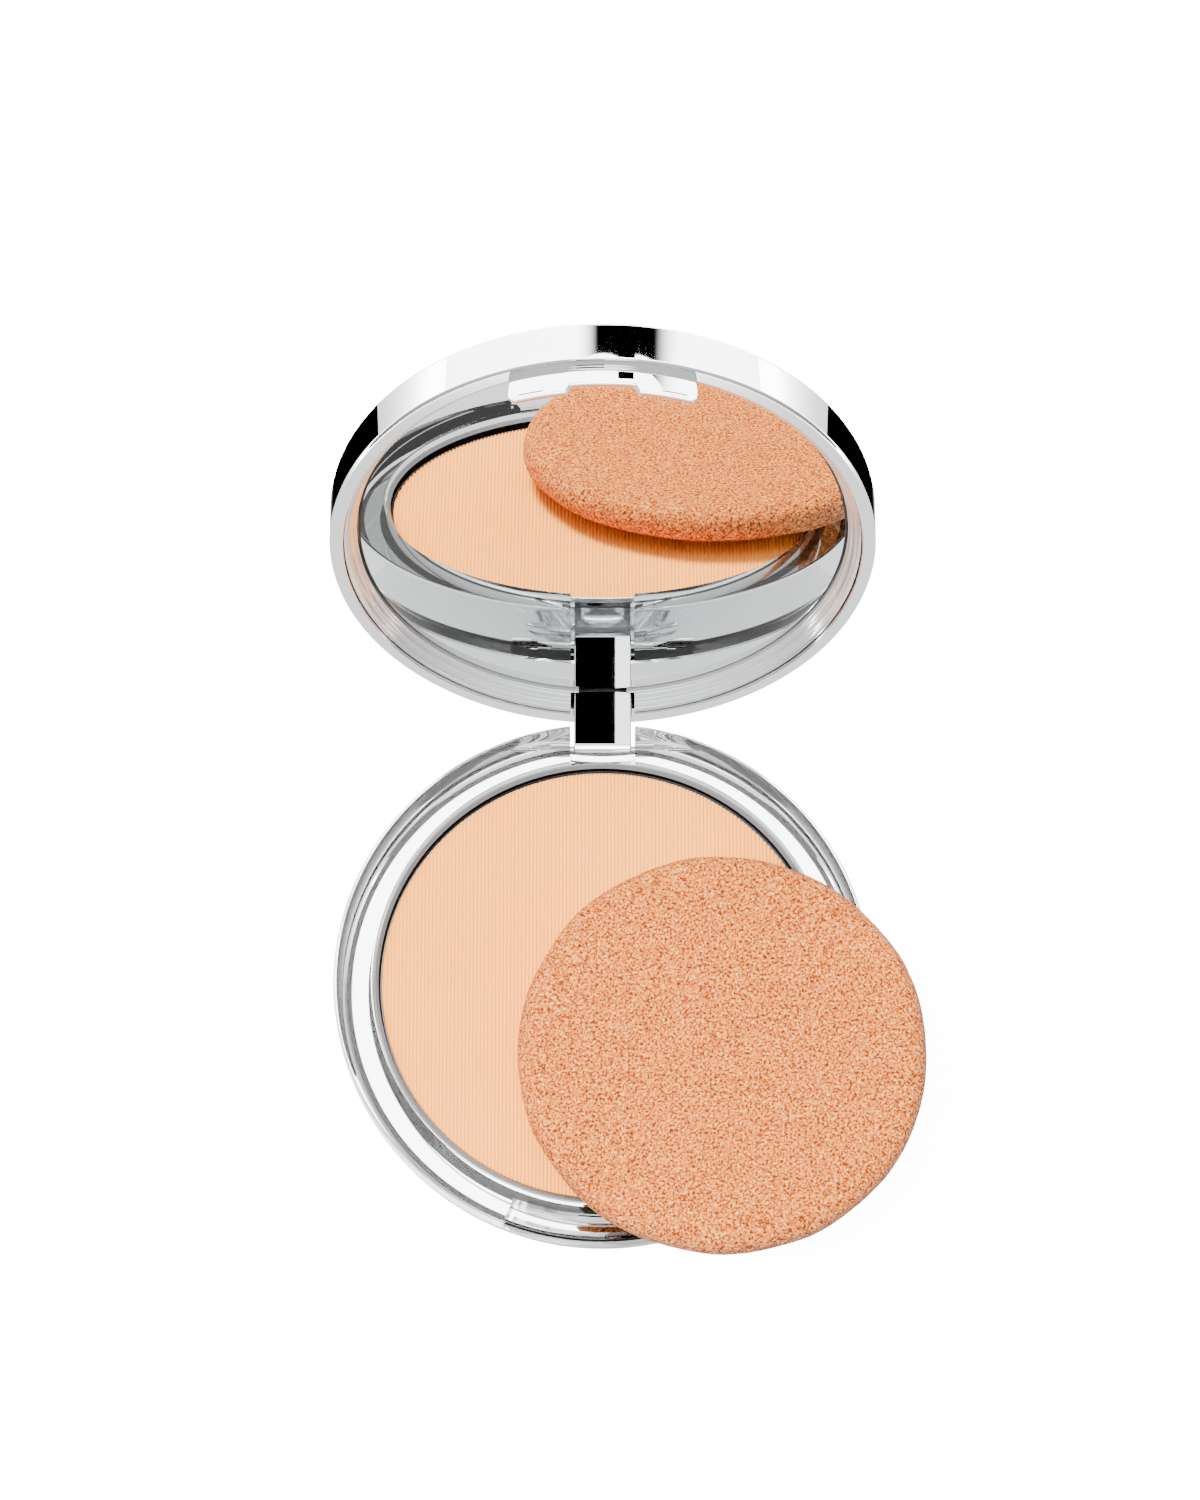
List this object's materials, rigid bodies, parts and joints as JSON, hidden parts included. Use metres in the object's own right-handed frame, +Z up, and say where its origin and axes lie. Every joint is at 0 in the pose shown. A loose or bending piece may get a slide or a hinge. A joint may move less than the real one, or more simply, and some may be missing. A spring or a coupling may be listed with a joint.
{
  "type": "powder compact",
  "caption": "Round pressed-powder compact with a clear base, chromed mirror lid on a strap hinge, and a loose foam sponge.",
  "frame": {"origin": "centre of the base's flat underside, on the axis of the round base", "axes": "+Z up out of the powder, +Y from the latch towards the hinge, +X along the hinge pin to the right"},
  "size_m": [0.0823, 0.115, 0.072],
  "materials": {
    "chrome_plating": "bright chrome plating on moulded ABS",
    "silver_plating": "silver metallised moulded plastic",
    "clear_plastic": "clear polished styrene-acrylonitrile",
    "label_paper": "blank satin film label",
    "adhesive": "double-sided tape",
    "pan_aluminium": "drawn satin aluminium",
    "pressed_powder": "matte pressed powder with fine straight ribs",
    "pin_steel": "drawn steel wire",
    "mirror_glass": "silvered float glass with a dark edge",
    "foam": "fine open-cell latex foam with small darker pores"
  },
  "bodies": {
    "base": {"base_cover": "chrome_plating", "base_label": "label_paper", "base_body": "clear_plastic", "powder_tray": "silver_plating", "pan_adhesive": "adhesive", "powder_pan": "pan_aluminium", "powder_cake": "pressed_powder", "hinge_pin": "pin_steel"},
    "lid": {"lid_shell": "chrome_plating", "lid_frame": "silver_plating", "mirror": "mirror_glass", "mirror_adhesive": "adhesive", "latch_tongue": "chrome_plating", "hinge_strap": "chrome_plating"},
    "sponge": {"applicator_sponge": "foam"}
  },
  "joints": [
    {"name": "lid_hinge", "type": "hinge", "parent": "base", "child": "lid", "pos_m": [0, 0.03523, 0.00715], "axis": [1, 0, 0], "range_deg": [0, 112.27]},
    {"name": "sponge_slide", "type": "slide", "parent": "base", "child": "sponge", "axis": [-0.817, 0.5679, -0.0996], "range_m": [0, 0.02008], "deforming": ["applicator_sponge"]}
  ],
  "couplings": [
    {"joint": "sponge_slide", "follows": "lid_hinge", "m_per_rad": 0.010244}
  ]
}
